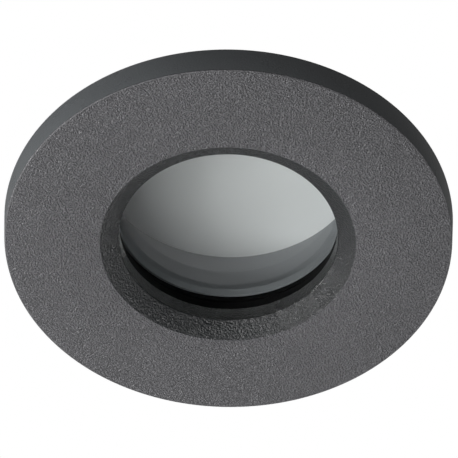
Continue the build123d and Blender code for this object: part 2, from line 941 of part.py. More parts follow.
def make_clip_arm():
    """A flat arm with a hub on the pin; its end sits in a rubber pad."""
    back = arm_offset + arm_thickness / 2
    front = arm_offset - arm_thickness / 2
    blade = block(arm_root, arm_length + arm_tip_over, front, back,
                  -arm_half_width, arm_half_width)
    blade = fillet(blade.edges().filter_by(Axis.Y), arm_thickness)
    web = block(0, arm_root + arm_thickness, front - arm_web_drop, back,
                -hub_half, hub_half)
    body = arm_frame() * (blade + web) + pivot_bar(hub_radius, hub_half)
    return (body - pivot_bar(pin_radius + pin_gap, hub_half)).solid()


def make_clip_pad():
    """A rubber shoe pushed over the end of the arm."""
    shoe = Pos(arm_length, arm_offset, 0) * Cylinder(pad_radius, 2 * pad_half_width)
    shoe = fillet(shoe.edges().filter_by(GeomType.CIRCLE), pad_edge_round)
    tip = block(arm_root, arm_length + arm_tip_over, arm_offset - arm_thickness / 2,
                arm_offset + arm_thickness / 2, -arm_half_width, arm_half_width)
    return (arm_frame() * (shoe - tip)).solid()


# The whole light, one file for each piece

save("bezel", make_bezel())
save("lens_glass", make_lens_glass())
save("lens_gasket", make_lens_gasket())
save("lens_retaining_ring", make_retaining_ring())
save("flange_gasket", make_flange_gasket())
save("light_chamber", make_light_chamber())
save("diffuser", make_diffuser())
save("mixing_ring", make_mixing_ring())
save("led_board", make_led_board())
save("led_chips", make_led_chips())
save("board_components", make_board_components())
save("board_screws", make_board_screws())
save("thermal_pad", make_thermal_pad())
save("heat_sink", make_heat_sink())
save("heat_sink_fins", make_heat_sink_fins())
save("heat_sink_seal", make_heat_sink_seal())
save("heat_sink_screws", make_heat_sink_screws())
save("housing_gasket", make_housing_gasket())
save("terminal_housing", make_terminal_housing())
save("housing_screws", make_housing_screws())
save("terminal_block", make_terminal_block())
save("terminal_clamps", make_terminal_clamps())
save("terminal_screws", make_terminal_screws())
save("lead_grommets", make_lead_grommets())
save("live_lead", make_live_lead())
save("neutral_lead", make_neutral_lead())
save("solder_joints", make_solder_joints())
save("earth_lead", make_earth_lead())
save("earth_tag", make_earth_tag())
save("earth_screw", make_earth_screw())
save("cover_gasket", make_cover_gasket())
save("terminal_cover", make_terminal_cover())
save("cover_screws", make_cover_screws())
save("gland_washer", make_gland_washer())
save("gland_body", make_gland_body())
save("gland_locknut", make_gland_locknut())
save("gland_seal", make_gland_seal())
save("gland_dome_nut", make_gland_dome_nut())

clip_pieces = {
    "clip_bracket": make_clip_bracket(),
    "bracket_screws": make_bracket_screws(),
    "clip_pin": make_clip_pin(),
    "clip_spring": make_clip_spring(),
    "clip_arm": make_clip_arm(),
    "clip_pad": make_clip_pad(),
}
for piece_name, piece in clip_pieces.items():
    save(f"right_{piece_name}", piece)
    save(f"left_{piece_name}", mirrored(piece))

# The sizes that describe the whole
print(f"bezel diameter {2 * flange_radius:.2f}, face {2 * face_radius:.2f}")
print(f"cut-out diameter {2 * cut_out_radius:.2f}")
print(f"clip pivot x {pivot_x:.3f} y {pivot_depth:.3f}, fold range {fold_range:.2f} degrees")
print(f"cable bore from y {gland_hex_back_y:.2f} to {gland_hex_back_y + seal_length:.2f}")
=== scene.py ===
"""Recessed wall light: the looks of every piece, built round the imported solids."""

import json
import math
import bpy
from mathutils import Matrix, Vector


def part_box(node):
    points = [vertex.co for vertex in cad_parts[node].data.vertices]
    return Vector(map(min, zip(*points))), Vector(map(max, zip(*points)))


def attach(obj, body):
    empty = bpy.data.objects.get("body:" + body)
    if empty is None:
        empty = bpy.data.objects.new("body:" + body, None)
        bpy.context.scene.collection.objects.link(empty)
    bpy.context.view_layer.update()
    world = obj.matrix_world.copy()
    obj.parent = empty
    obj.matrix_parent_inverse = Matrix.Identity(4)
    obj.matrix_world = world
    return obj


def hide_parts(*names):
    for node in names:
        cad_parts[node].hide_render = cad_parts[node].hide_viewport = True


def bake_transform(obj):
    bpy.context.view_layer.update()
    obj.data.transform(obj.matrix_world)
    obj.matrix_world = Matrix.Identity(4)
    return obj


bl_info = {
    "name": "Recessed wall light",
    "version": (1, 0, 0),
    "blender": (4, 5, 0),
    "location": "View3D > Sidebar > Wall light",
    "description": "Builds the bezel, glass, seals, springs and finishes of a recessed wall light",
    "category": "Object",
}

import bpy
from mathutils import Matrix, Vector

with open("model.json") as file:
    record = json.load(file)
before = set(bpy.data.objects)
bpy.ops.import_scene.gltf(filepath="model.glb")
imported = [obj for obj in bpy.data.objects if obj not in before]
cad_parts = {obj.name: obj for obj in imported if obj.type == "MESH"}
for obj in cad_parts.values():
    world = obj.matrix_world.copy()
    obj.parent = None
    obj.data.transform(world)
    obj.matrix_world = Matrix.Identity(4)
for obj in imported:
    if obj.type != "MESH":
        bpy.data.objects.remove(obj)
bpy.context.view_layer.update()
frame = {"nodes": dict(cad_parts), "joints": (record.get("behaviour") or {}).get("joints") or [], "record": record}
NODES = frame["nodes"]
JOINTS = {joint["child"]: joint for joint in frame["joints"]}
MM = 0.001
PHOTO_PIXELS = 458


def top_of(node):
    """The highest x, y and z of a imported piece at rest."""
    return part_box(node)[1]


def bottom_of(node):
    """The lowest x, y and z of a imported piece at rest."""
    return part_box(node)[0]


# Sizes and colours that a user would change


class BezelSizes(bpy.types.PropertyGroup):
    """The casting's own sizes; the rest comes from the pieces that it holds."""
    opening_radius: bpy.props.FloatProperty(
        name="Opening radius", description="Inner radius of the lip in front of the glass",
        default=23.84 * MM, unit="LENGTH", precision=5)
    chamfer_width: bpy.props.FloatProperty(
        name="Chamfer width", description="Width of the chamfer, seen from the front",
        default=3.96 * MM, unit="LENGTH", precision=5)
    chamfer_depth: bpy.props.FloatProperty(
        name="Chamfer depth", description="How far the chamfer sinks into the face",
        default=2.45 * MM, unit="LENGTH", precision=5)
    side_draft: bpy.props.FloatProperty(
        name="Side draft", description="How much narrower the face is than the back edge",
        default=0.4 * MM, unit="LENGTH", precision=5)
    rim_width: bpy.props.FloatProperty(
        name="Rim width", description="Width of the edge that meets the wall",
        default=2.0 * MM, unit="LENGTH", precision=5)
    recess_web: bpy.props.FloatProperty(
        name="Recess web", description="Thickness left round the neck behind the flange",
        default=2.5 * MM, unit="LENGTH", precision=5)
    neck_wall: bpy.props.FloatProperty(
        name="Neck wall", description="Wall thickness of the neck",
        default=2.8 * MM, unit="LENGTH", precision=5)
    lug_radius: bpy.props.FloatProperty(
        name="Lug radius", description="Radius of the lugs that the heat sink is screwed to",
        default=3.4 * MM, unit="LENGTH", precision=5)
    lug_length: bpy.props.FloatProperty(
        name="Lug length", description="Length of the heat sink's lugs along the neck",
        default=8.0 * MM, unit="LENGTH", precision=5)
    lug_standoff: bpy.props.FloatProperty(
        name="Lug standoff", description="From the neck's outside to a lug's axis",
        default=3.0 * MM, unit="LENGTH", precision=5)
    lugs: bpy.props.IntProperty(
        name="Lugs", description="Number of heat sink lugs", default=3)
    screw_hole: bpy.props.FloatProperty(
        name="Screw hole", description="Radius of the threaded holes",
        default=1.55 * MM, unit="LENGTH", precision=5)
    rim_round: bpy.props.FloatProperty(
        name="Rim round", description="Radius of the edge between the face and the side",
        default=0.35 * MM, unit="LENGTH", precision=5)
    edge_round: bpy.props.FloatProperty(
        name="Edge round", description="Radius that the coat leaves on the opening's edges",
        default=0.14 * MM, unit="LENGTH", precision=5)
    steps: bpy.props.IntProperty(
        name="Steps", description="Number of steps round the axis", default=256)


class GlazingSizes(bpy.types.PropertyGroup):
    """The glass and the gasket that grips it."""
    glass_round: bpy.props.FloatProperty(
        name="Glass round", description="Radius of the glass's ground edges",
        default=0.3 * MM, unit="LENGTH", precision=5)
    front_inset: bpy.props.FloatProperty(
        name="Front inset", description="How far the gasket stands back from the lip's radius",
        default=0.21 * MM, unit="LENGTH", precision=5)
    back_overlap: bpy.props.FloatProperty(
        name="Back overlap", description="How far the gasket laps over the back of the glass",
        default=1.6 * MM, unit="LENGTH", precision=5)
    seal_round: bpy.props.FloatProperty(
        name="Seal round", description="Radius of the gasket's edges",
        default=0.2 * MM, unit="LENGTH", precision=5)
    steps: bpy.props.IntProperty(
        name="Steps", description="Number of steps round the gasket", default=192)


class SpringSizes(bpy.types.PropertyGroup):
    """The clips' double torsion springs."""
    wire_radius: bpy.props.FloatProperty(
        name="Wire radius", description="Radius of the spring wire",
        default=0.45 * MM, unit="LENGTH", precision=5)
    coil_radius: bpy.props.FloatProperty(
        name="Coil radius", description="Radius of the coil's middle line",
        default=1.95 * MM, unit="LENGTH", precision=5)
    turn_gap: bpy.props.FloatProperty(
        name="Turn gap", description="Gap between neighbouring turns",
        default=0.05 * MM, unit="LENGTH", precision=5)
    first_turn: bpy.props.FloatProperty(
        name="First turn", description="Distance of the first turn from the arm's middle",
        default=2.65 * MM, unit="LENGTH", precision=5)
    arm_offset: bpy.props.FloatProperty(
        name="Arm offset", description="Distance of the arm's middle plane from the pin's axis",
        default=0.65 * MM, unit="LENGTH", precision=5)
    leg: bpy.props.FloatProperty(
        name="Leg", description="Length of the leg that lies along the arm",
        default=9.0 * MM, unit="LENGTH", precision=5)
    bridge_round: bpy.props.FloatProperty(
        name="Bridge round", description="Bend radius of the bridge between the legs",
        default=1.2 * MM, unit="LENGTH", precision=5)
    whole_turns: bpy.props.IntProperty(
        name="Whole turns", description="Whole turns on each side", default=3)


class StageSettings(bpy.types.PropertyGroup):
    """Camera, wall, floor and lights."""
    elevation: bpy.props.FloatProperty(
        name="Elevation", description="Camera angle above the light's axis",
        default=math.radians(41.21), subtype="ANGLE")
    roll: bpy.props.FloatProperty(
        name="Roll", description="Turn of the camera about its own line of sight",
        default=math.radians(0.92), subtype="ANGLE")
    distance: bpy.props.FloatProperty(
        name="Distance", description="From the camera to the middle of the face",
        default=0.7253, unit="LENGTH")
    lens: bpy.props.FloatProperty(
        name="Lens", description="Focal length in millimetres on a 36 mm sensor",
        default=262.6)
    wall_hole: bpy.props.FloatProperty(
        name="Wall hole", description="Radius of the cut-out in the wall",
        default=42.5 * MM, unit="LENGTH", precision=5)
    floor_drop: bpy.props.FloatProperty(
        name="Floor drop", description="How far the floor lies below the light's axis",
        default=0.36, unit="LENGTH")
    reach: bpy.props.FloatProperty(
        name="Reach", description="How far the wall and the floor spread from the light",
        default=3.0, unit="LENGTH")
    aim_right: bpy.props.FloatProperty(
        name="Aim right", description="How far right of the face's middle the camera aims, in "
        "pixels of the picture", default=0.805)
    aim_up: bpy.props.FloatProperty(
        name="Aim up", description="How far above the face's middle the camera aims, in pixels "
        "of the picture", default=17.33)
    wall_glow: bpy.props.FloatProperty(
        name="Wall glow", description="Light that the wall throws on the piece", default=0.16)
    floor_glow: bpy.props.FloatProperty(
        name="Floor glow", description="Light that the floor throws on the piece", default=0.35)
    floor_mirror: bpy.props.FloatProperty(
        name="Floor mirror", description="How bright the floor looks in glossy surfaces",
        default=0.53)
    rear_light: bpy.props.FloatProperty(
        name="Rear light", description="Strength of the surrounding behind the wall",
        default=0.55)
    backdrop: bpy.props.FloatProperty(
        name="Backdrop", description="How bright the surrounding looks to the camera",
        default=0.9)


class FinishColours(bpy.types.PropertyGroup):
    """Base colours of the finishes that show most."""
    coat: bpy.props.FloatVectorProperty(
        name="Coat", description="Powder coat of the bezel's face", subtype="COLOR", size=4,
        default=(0.114, 0.113, 0.12, 1.0))
    smooth_coat: bpy.props.FloatVectorProperty(
        name="Smooth coat", description="Powder coat of the chamfer, lip and side wall",
        subtype="COLOR", size=4, default=(0.11, 0.118, 0.124, 1.0))
    chamber: bpy.props.FloatVectorProperty(
        name="Chamber", description="Satin wall behind the glass", subtype="COLOR", size=4,
        default=(0.268, 0.278, 0.291, 1.0))
    diffuser: bpy.props.FloatVectorProperty(
        name="Diffuser", description="Opal sheet at the end of the chamber", subtype="COLOR",
        size=4, default=(0.88, 0.89, 0.89, 1.0))


class CoatTexture(bpy.types.PropertyGroup):
    """The powder coat's wrinkles, and how its zones differ."""
    wrinkle_scale: bpy.props.FloatProperty(
        name="Wrinkle scale", description="Wrinkles to a metre of the face", default=2450.0)
    relief: bpy.props.FloatProperty(
        name="Relief", description="Height of the wrinkles as the light sees them",
        default=0.42 * MM, unit="LENGTH", precision=5)
    glint: bpy.props.FloatProperty(
        name="Glint", description="Share of small sharp grains among the wrinkles", default=0.7)
    # Painted shade and painted glints: how much the wrinkles' valleys darken the colour and their sharp grains
    # brighten it.
    contrast: bpy.props.FloatProperty(
        name="Contrast", description="How much paler the tops are than the valleys",
        default=0.75)
    fade: bpy.props.FloatProperty(
        name="Fade", description="How softly one zone of the coat runs into the next",
        default=0.05 * MM, unit="LENGTH", precision=5)
    # Painted shade: the chamfer's colour is darkened to stand in for the shade of the recess.
    chamfer_painted_shade: bpy.props.FloatProperty(
        name="Chamfer tone", description="Brightness of the chamfer's colour", default=0.2)
    # Painted shade: the lip's colour is darkened further, as the shade deep in the opening.
    lip_painted_shade: bpy.props.FloatProperty(
        name="Lip tone", description="Brightness of the lip's colour", default=0.08)
    chamfer_texture: bpy.props.FloatProperty(
        name="Chamfer texture", description="Share of the face's wrinkles on the chamfer",
        default=0.35)
    side_texture: bpy.props.FloatProperty(
        name="Side texture", description="Share of the face's wrinkles on the side wall",
        default=0.06)
    edge_texture: bpy.props.FloatProperty(
        name="Edge texture", description="Share of the wrinkles left on worn edges",
        default=0.3)
    smoothing: bpy.props.FloatProperty(
        name="Smoothing", description="Roughness taken off the chamfer, lip and side wall",
        default=0.17)
    edge_polish: bpy.props.FloatProperty(
        name="Edge polish", description="Roughness taken off by wear along the edges",
        default=0.17)


# Modelling helpers


def select_nothing():
    """Leaves edit mode and deselects everything."""
    if bpy.context.mode != "OBJECT":
        bpy.ops.object.mode_set(mode="OBJECT")
    bpy.ops.object.select_all(action="DESELECT")


def only(obj):
    """Makes one object the active and selected one."""
    select_nothing()
    obj.select_set(True)
    bpy.context.view_layer.objects.active = obj
    return obj


def settle(obj):
    """Puts the object's place, turn and scale into its mesh."""
    only(obj)
    bpy.ops.object.transform_apply(location=True, rotation=True, scale=True)
    return obj


def mend(obj):
    """Merges doubles and points every face outwards."""
    only(obj)
    bpy.ops.object.mode_set(mode="EDIT")
    bpy.ops.mesh.select_all(action="SELECT")
    bpy.ops.mesh.remove_doubles(threshold=0.001 * MM)
    bpy.ops.mesh.normals_make_consistent(inside=False)
    bpy.ops.object.mode_set(mode="OBJECT")
    return obj


def point_faces(obj, way):
    """Turns an open sheet's faces so that they look one way."""
    only(obj)
    if obj.data.polygons[0].normal.dot(way) < 0:
        bpy.ops.object.mode_set(mode="EDIT")
        bpy.ops.mesh.select_all(action="SELECT")
        bpy.ops.mesh.flip_normals()
        bpy.ops.object.mode_set(mode="OBJECT")


def smooth(obj, degrees=32.0):
    """Shades smooth, except across edges sharper than the angle."""
    only(obj)
    bpy.ops.object.shade_smooth_by_angle(angle=math.radians(degrees))
    return obj


def apply_modifier(obj, kind, **settings):
    """Adds a modifier of that kind and applies it at once."""
    only(obj)
    modifier = obj.modifiers.new(kind.title(), kind)
    for name, value in settings.items():
        setattr(modifier, name, value)
    bpy.ops.object.modifier_apply(modifier=modifier.name)
    return obj


def cut(obj, tool):
    """Takes the tool's shape away from the object and removes the tool."""
    apply_modifier(obj, "BOOLEAN", operation="DIFFERENCE", solver="EXACT", object=tool)
    bpy.data.objects.remove(tool)


def join(obj, other):
    """Unites the object with another one, which is removed."""
    apply_modifier(obj, "BOOLEAN", operation="UNION", solver="EXACT", object=other)
    bpy.data.objects.remove(other)


def turned(name, profile, rounds, steps):
    """A ring turned about the Y axis from a closed profile of (radius, y) points.

    rounds holds (index, radius) for the corners that are rounded first.
    """
    select_nothing()
    bpy.ops.mesh.primitive_circle_add(vertices=len(profile), radius=1.0, fill_type="NGON")
    obj = bpy.context.object
    obj.name = name
    mesh = obj.data
    for vertex, (radius, y) in zip(mesh.vertices, profile):
        vertex.co = (radius, y, 0.0)
    places = [(Vector((*profile[index], 0.0)), radius) for index, radius in rounds]
    for place, radius in places:
        bpy.ops.object.mode_set(mode="EDIT")
        bpy.ops.mesh.select_all(action="DESELECT")
        bpy.ops.mesh.select_mode(type="VERT")
        bpy.ops.object.mode_set(mode="OBJECT")
        for vertex in mesh.vertices:
            vertex.select = (vertex.co - place).length < 1e-7
        bpy.ops.object.mode_set(mode="EDIT")
        bpy.ops.mesh.bevel(offset=radius, segments=4, affect="VERTICES")
    bpy.ops.object.mode_set(mode="EDIT")
    bpy.ops.mesh.select_all(action="SELECT")
    bpy.ops.mesh.delete(type="ONLY_FACE")
    bpy.ops.mesh.select_all(action="SELECT")
    bpy.ops.mesh.spin(steps=steps, angle=math.tau, center=(0, 0, 0), axis=(0, 1, 0),
                      use_auto_merge=True)
    bpy.ops.object.mode_set(mode="OBJECT")
    return mend(obj)


def rod(radius, start, end, sides=48):
    """A closed round bar between two points."""
    start, end = Vector(start), Vector(end)
    way = end - start
    select_nothing()
    bpy.ops.mesh.primitive_cylinder_add(vertices=sides, radius=radius, depth=way.length,
                                        location=(start + end) / 2)
    obj = bpy.context.object
    obj.rotation_mode = "QUATERNION"
    obj.rotation_quaternion = way.to_track_quat("Z", "Y")
    return settle(obj)


def slab(low, high, edge=0.0):
    """A box between two corners, with rounded edges if asked."""
    low, high = Vector(low), Vector(high)
    select_nothing()
    bpy.ops.mesh.primitive_cube_add(size=1.0, location=(low + high) / 2)
    obj = bpy.context.object
    obj.scale = high - low
    settle(obj)
    if edge:
        apply_modifier(obj, "BEVEL", width=edge, segments=3)
    return obj


def dress(obj, name, slot, *nodes):
    """Names a finished piece, gives it its finish and hides the imported nodes that it stands for."""
    obj.name = name
    obj.data.name = name
    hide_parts(*nodes)
    paint(obj, slot)
    select_nothing()
    return obj


# Shader groups that several finishes share


def new_group(name, inputs, outputs):
    """A shader group with its named sockets: (group, input node, output node)."""
    group = bpy.data.node_groups.new(name, "ShaderNodeTree")
    for socket, kind, value in inputs:
        made = group.interface.new_socket(socket, in_out="INPUT", socket_type=kind)
        if value is not None:
            made.default_value = value
    for socket, kind in outputs:
        group.interface.new_socket(socket, in_out="OUTPUT", socket_type=kind)
    start = group.nodes.new("NodeGroupInput")
    end = group.nodes.new("NodeGroupOutput")
    return group, start, end


def add(tree, kind, **settings):
    """A new node with its settings."""
    node = tree.nodes.new(kind)
    for name, value in settings.items():
        setattr(node, name, value)
    return node


def math_node(tree, operation, first, second, clamp=False):
    """A Math node fed by sockets or plain numbers."""
    node = add(tree, "ShaderNodeMath", operation=operation, use_clamp=clamp)
    for socket, value in zip(node.inputs, (first, second)):
        if isinstance(value, bpy.types.NodeSocket):
            tree.links.new(value, socket)
        else:
            socket.default_value = value
    return node.outputs[0]


def ramp(tree, source, low, high, low_out=0.0, high_out=1.0):
    """A smooth step of a value between two limits."""
    node = add(tree, "ShaderNodeMapRange", interpolation_type="SMOOTHSTEP")
    tree.links.new(source, node.inputs["Value"])
    node.inputs["From Min"].default_value = low
    node.inputs["From Max"].default_value = high
    node.inputs["To Min"].default_value = low_out
    node.inputs["To Max"].default_value = high_out
    return node.outputs["Result"]


def noise(tree, vector, scale, detail, roughness=0.5, distortion=0.0):
    """Soft noise; the scale may be a number or a socket."""
    node = add(tree, "ShaderNodeTexNoise")
    tree.links.new(vector, node.inputs["Vector"])
    if isinstance(scale, bpy.types.NodeSocket):
        tree.links.new(scale, node.inputs["Scale"])
    else:
        node.inputs["Scale"].default_value = scale
    node.inputs["Detail"].default_value = detail
    node.inputs["Roughness"].default_value = roughness
    node.inputs["Distortion"].default_value = distortion
    return node.outputs["Fac"]


def wrinkle_group():
    """Leathery wrinkles of a textured powder coat: their height, and a painted shade in their valleys with painted
    glints on their sharp grains.
    """
    group, start, end = new_group(
        "Coat wrinkles", [("Scale", "NodeSocketFloat", 1800.0), ("Glint", "NodeSocketFloat", 0.3)],
        [("Height", "NodeSocketFloat"), ("Peak", "NodeSocketFloat")])
    place = add(group, "ShaderNodeTexCoord").outputs["Object"]
    ridges = noise(group, place, start.outputs["Scale"], detail=0.6, distortion=0.2)
    fine_scale = math_node(group, "MULTIPLY", start.outputs["Scale"], 1.5)
    fine = noise(group, place, fine_scale, detail=1.0)
    sharp = ramp(group, fine, low=0.55, high=0.75)
    share = math_node(group, "MULTIPLY", sharp, start.outputs["Glint"])
    wave = ramp(group, ridges, low=0.15, high=0.85)
    group.links.new(math_node(group, "ADD", wave, share), end.inputs["Height"])
    # Painted shade and painted glints: below the wave's middle the colour darkens as shade in the valleys, and the
    # sharp grains brighten it as glints.
    group.links.new(math_node(group, "ADD", math_node(group, "SUBTRACT", wave, 0.5), share),
                    end.inputs["Peak"])
    return group


def tone_group():
    """A colour that drifts a little, as a handled surface does."""
    group, start, end = new_group(
        "Tone drift",
        [("Color", "NodeSocketColor", (0.5, 0.5, 0.5, 1.0)), ("Scale", "NodeSocketFloat", 60.0),
         ("Amount", "NodeSocketFloat", 0.1)],
        [("Color", "NodeSocketColor"), ("Mask", "NodeSocketFloat")])
    place = add(group, "ShaderNodeTexCoord").outputs["Object"]
    drift = noise(group, place, start.outputs["Scale"], detail=4.0, roughness=0.6)
    mask = ramp(group, drift, low=0.35, high=0.65)
    centred = math_node(group, "SUBTRACT", mask, 0.5)
    swing = math_node(group, "MULTIPLY", centred, start.outputs["Amount"])
    gain = math_node(group, "ADD", swing, 1.0)
    scaled = add(group, "ShaderNodeVectorMath", operation="SCALE")
    group.links.new(start.outputs["Color"], scaled.inputs[0])
    group.links.new(gain, scaled.inputs["Scale"])
    group.links.new(scaled.outputs[0], end.inputs["Color"])
    group.links.new(mask, end.inputs["Mask"])
    return group


def grain_group():
    """Even fine grain of blasted, moulded or rolled surfaces; Stretch draws it out along Y."""
    group, start, end = new_group(
        "Surface grain",
        [("Scale", "NodeSocketFloat", 2500.0), ("Stretch", "NodeSocketFloat", 1.0)],
        [("Height", "NodeSocketFloat")])
    place = add(group, "ShaderNodeTexCoord").outputs["Object"]
    apart = add(group, "ShaderNodeSeparateXYZ")
    group.links.new(place, apart.inputs[0])
    together = add(group, "ShaderNodeCombineXYZ")
    group.links.new(apart.outputs["X"], together.inputs["X"])
    group.links.new(math_node(group, "MULTIPLY", apart.outputs["Y"], start.outputs["Stretch"]),
                    together.inputs["Y"])
    group.links.new(apart.outputs["Z"], together.inputs["Z"])
    height = noise(group, together.outputs[0], start.outputs["Scale"], detail=3.0, roughness=0.6)
    group.links.new(height, end.inputs["Height"])
    return group


GROUPS = {}


def shared(name):
    """The shader group of that name, built the first time it is asked for."""
    makers = {"wrinkles": wrinkle_group, "tone": tone_group, "grain": grain_group}
    if name not in GROUPS:
        GROUPS[name] = makers[name]()
    return GROUPS[name]


def place_group(tree, name, **values):
    """A shared group placed in a material, with its own values."""
    node = add(tree, "ShaderNodeGroup", node_tree=shared(name))
    for socket, value in values.items():
        node.inputs[socket].default_value = value
    return node


# Finishes


def blank(name):
    """A new material with its shader and output: (material, tree, shader)."""
    material = bpy.data.materials.new(name)
    material.use_nodes = True
    tree = material.node_tree
    shader = next(n for n in tree.nodes if n.type == "BSDF_PRINCIPLED")
    return material, tree, shader


def relief(tree, shader, height, distance):
    """Lets a height stand out from the surface by a distance."""
    bump = add(tree, "ShaderNodeBump")
    bump.inputs["Strength"].default_value = 1.0
    bump.inputs["Distance"].default_value = distance
    tree.links.new(height, bump.inputs["Height"])
    tree.links.new(bump.outputs["Normal"], shader.inputs["Normal"])


def surface(name, colour, roughness, metallic=0.0, drift=0.1, drift_scale=60.0,
            grain=2500.0, stretch=1.0, depth=0.004 * MM, rough_swing=0.08, **sockets):
    """A plain material family: drifting tone, uneven gloss and fine grain."""
    material, tree, shader = blank(name)
    tone = place_group(tree, "tone", Color=colour, Scale=drift_scale, Amount=drift)
    tree.links.new(tone.outputs["Color"], shader.inputs["Base Color"])
    gloss = ramp(tree, tone.outputs["Mask"], 0.0, 1.0, roughness - rough_swing,
                 roughness + rough_swing)
    tree.links.new(gloss, shader.inputs["Roughness"])
    shader.inputs["Metallic"].default_value = metallic
    for socket, value in sockets.items():
        shader.inputs[socket.replace("_", " ")].default_value = value
    texture = place_group(tree, "grain", Scale=grain, Stretch=stretch)
    relief(tree, shader, texture.outputs["Height"], depth)
    return material


def coat_zones(tree, texture):
    """Masks of the coat's zones: inside the opening, the side wall and the edges, and the painted shade that
    darkens the chamfer and the lip.
    """
    sizes = bpy.context.scene.bezel_sizes
    face_y = bottom_of("bezel").y
    fade = texture.fade
    place = add(tree, "ShaderNodeTexCoord").outputs["Object"]
    apart = add(tree, "ShaderNodeSeparateXYZ")
    tree.links.new(place, apart.inputs[0])
    depth = apart.outputs["Y"]
    flat = add(tree, "ShaderNodeVectorMath", operation="MULTIPLY")
    tree.links.new(place, flat.inputs[0])
    flat.inputs[1].default_value = (1.0, 0.0, 1.0)
    length = add(tree, "ShaderNodeVectorMath", operation="LENGTH")
    tree.links.new(flat.outputs[0], length.inputs[0])
    radius = length.outputs["Value"]
    edge = sizes.opening_radius + sizes.chamfer_width
    inside = ramp(tree, radius, edge - 3 * fade, edge + 2 * fade, 1.0, 0.0)
    side = ramp(tree, depth, face_y + 2 * fade, face_y + 8 * fade)
    rim = top_of("bezel").x - sizes.side_draft - sizes.rim_round
    rim_back = face_y + sizes.rim_round
    rim_edge = math_node(tree, "MULTIPLY", ramp(tree, radius, rim, rim + fade),
                         ramp(tree, depth, rim_back - fade, rim_back, 1.0, 0.0))
    bore = sizes.opening_radius
    rounded = bore + sizes.edge_round
    lip_edge = math_node(tree, "MULTIPLY", ramp(tree, radius, bore + 0.1 * fade, bore + 0.4 * fade),
                         ramp(tree, radius, rounded, rounded + fade, 1.0, 0.0))
    edges = math_node(tree, "MAXIMUM", rim_edge, lip_edge)
    # Painted shade: the chamfer and, deeper in, the lip get a darker colour as the recess's shade.
    lip_front = face_y + sizes.chamfer_depth
    tone = ramp(tree, depth, lip_front - 2 * fade, lip_front + 2 * fade,
                texture.chamfer_painted_shade, texture.lip_painted_shade)
    return inside, side, edges, tone


def coat_finish(name):
    """Dark grey textured powder coat: wrinkled on the face, finer on the other surfaces; painted shade darkens the
    chamfer, the lip and the wrinkles' valleys, and painted glints brighten the grains.
    """
    colours = bpy.context.scene.finish_colours
    texture = bpy.context.scene.coat_texture
    material, tree, shader = blank(name)
    inside, side, edges, painted_recess_shade = coat_zones(tree, texture)
    smooth_zone = math_node(tree, "MAXIMUM", inside, side)
    wrinkles = place_group(tree, "wrinkles", Scale=texture.wrinkle_scale, Glint=texture.glint)
    side_share = ramp(tree, side, 0.0, 1.0, 1.0, texture.side_texture)
    inner_share = math_node(tree, "MULTIPLY", inside, texture.chamfer_texture)
    share = math_node(tree, "MINIMUM", math_node(tree, "MAXIMUM", side_share, inner_share),
                      ramp(tree, inside, 0.0, 1.0, 1.0, texture.chamfer_texture))
    share = math_node(tree, "MULTIPLY", share,
                      ramp(tree, edges, 0.0, 1.0, 1.0, texture.edge_texture))

    tint = add(tree, "ShaderNodeMix", data_type="RGBA")
    tree.links.new(smooth_zone, tint.inputs["Factor"])
    tint.inputs["A"].default_value = colours.coat
    tint.inputs["B"].default_value = colours.smooth_coat
    tone = place_group(tree, "tone", Scale=45.0, Amount=0.06)
    tree.links.new(tint.outputs["Result"], tone.inputs["Color"])
    # Painted shade and painted glints: the wrinkles' valleys darken the coat's colour and their sharp grains
    # brighten it.
    painted_shade_and_glint = math_node(tree, "MULTIPLY", math_node(tree, "MULTIPLY", wrinkles.outputs["Peak"], share),
                     texture.contrast)
    # Painted shade: inside the opening the colour is scaled down on the chamfer and the lip.
    recess_shade_mix = add(tree, "ShaderNodeMix", data_type="FLOAT")
    tree.links.new(inside, recess_shade_mix.inputs["Factor"])
    recess_shade_mix.inputs["A"].default_value = 1.0
    tree.links.new(painted_recess_shade, recess_shade_mix.inputs["B"])
    shade = add(tree, "ShaderNodeVectorMath", operation="SCALE")
    tree.links.new(tone.outputs["Color"], shade.inputs[0])
    tree.links.new(math_node(tree, "MULTIPLY", recess_shade_mix.outputs["Result"],
                             math_node(tree, "ADD", painted_shade_and_glint, 1.0)), shade.inputs["Scale"])
    tree.links.new(shade.outputs[0], shader.inputs["Base Color"])

    gloss = ramp(tree, tone.outputs["Mask"], 0.0, 1.0, 0.42, 0.48)
    smoothed = math_node(tree, "SUBTRACT", gloss,
                         math_node(tree, "MULTIPLY", smooth_zone, texture.smoothing))
    worn = math_node(tree, "MULTIPLY", edges, texture.edge_polish)
    tree.links.new(math_node(tree, "SUBTRACT", smoothed, worn, clamp=True),
                   shader.inputs["Roughness"])
    relief(tree, shader, math_node(tree, "MULTIPLY", wrinkles.outputs["Height"], share),
           texture.relief)
    return material


def glass_finish(name):
    """Clear toughened glass; light that only brightens what is behind it passes straight."""
    material, tree, shader = blank(name)
    shader.inputs["Base Color"].default_value = (0.97, 0.99, 0.98, 1.0)
    shader.inputs["Roughness"].default_value = 0.0
    shader.inputs["IOR"].default_value = 1.52
    shader.inputs["Transmission Weight"].default_value = 1.0
    rays = add(tree, "ShaderNodeLightPath")
    through = math_node(tree, "MAXIMUM", rays.outputs["Is Shadow Ray"],
                        rays.outputs["Is Diffuse Ray"])
    clear = add(tree, "ShaderNodeBsdfTransparent")
    clear.inputs["Color"].default_value = (0.92, 0.93, 0.93, 1.0)
    mix = add(tree, "ShaderNodeMixShader")
    out = next(n for n in tree.nodes if n.type == "OUTPUT_MATERIAL")
    tree.links.new(through, mix.inputs["Fac"])
    tree.links.new(shader.outputs["BSDF"], mix.inputs[1])
    tree.links.new(clear.outputs["BSDF"], mix.inputs[2])
    tree.links.new(mix.outputs["Shader"], out.inputs["Surface"])
    return material


